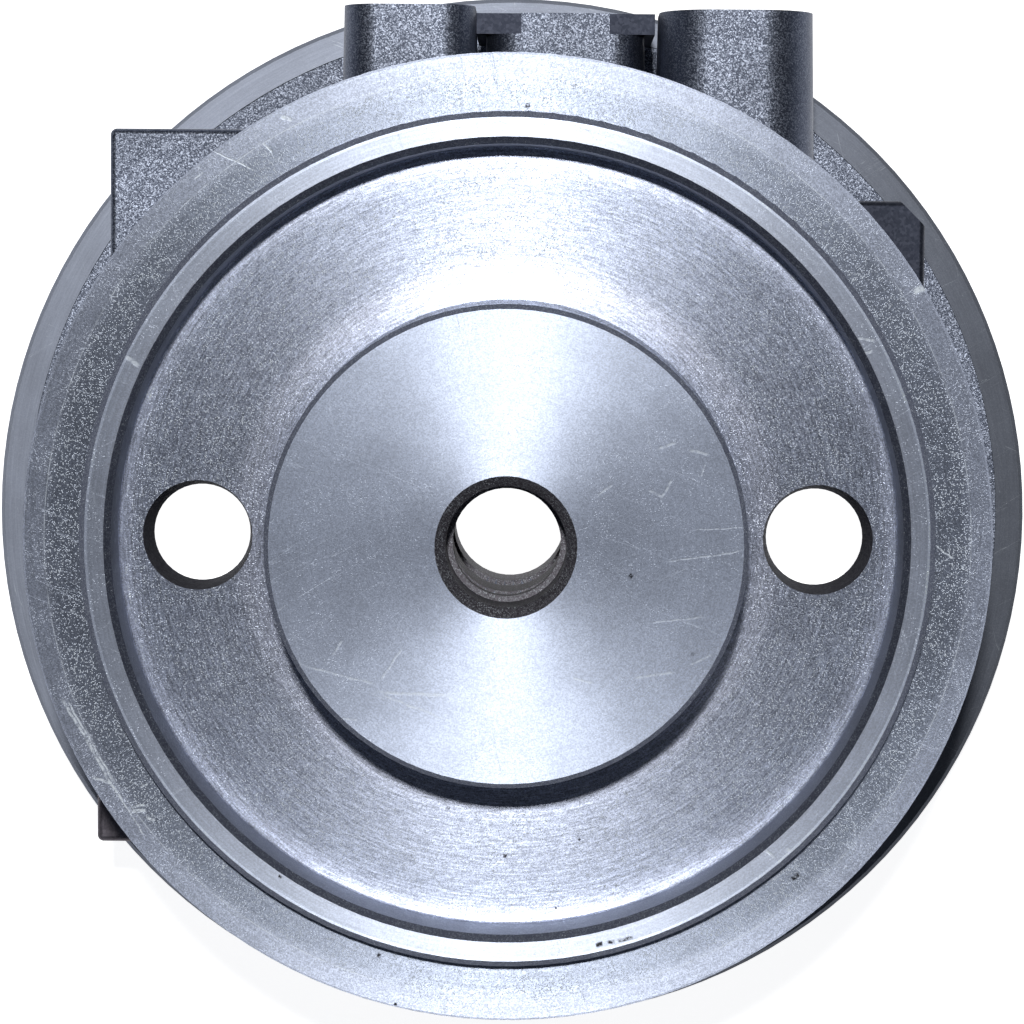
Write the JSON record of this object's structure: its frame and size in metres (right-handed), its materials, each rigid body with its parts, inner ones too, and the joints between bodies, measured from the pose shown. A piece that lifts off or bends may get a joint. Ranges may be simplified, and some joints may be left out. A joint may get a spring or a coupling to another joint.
{
  "type": "turbocharger bearing housing",
  "caption": "Cast-iron turbocharger bearing housing with a shaft bore, a recessed turbine flange, a larger compressor flange, an oil inlet pad and a drain pad.",
  "frame": {"origin": "centre of the shaft bore at the compressor-side face that the part stands on", "axes": "+Z along the shaft bore towards the turbine end, +Y towards the oil inlet, +X to the right when seen from the turbine end"},
  "size_m": [0.154, 0.154, 0.0821],
  "materials": {
    "cast_iron": "shot-blasted casting, turned bright at its joints"
  },
  "bodies": {
    "root": {"bearing_housing": "cast_iron"}
  },
  "joints": []
}
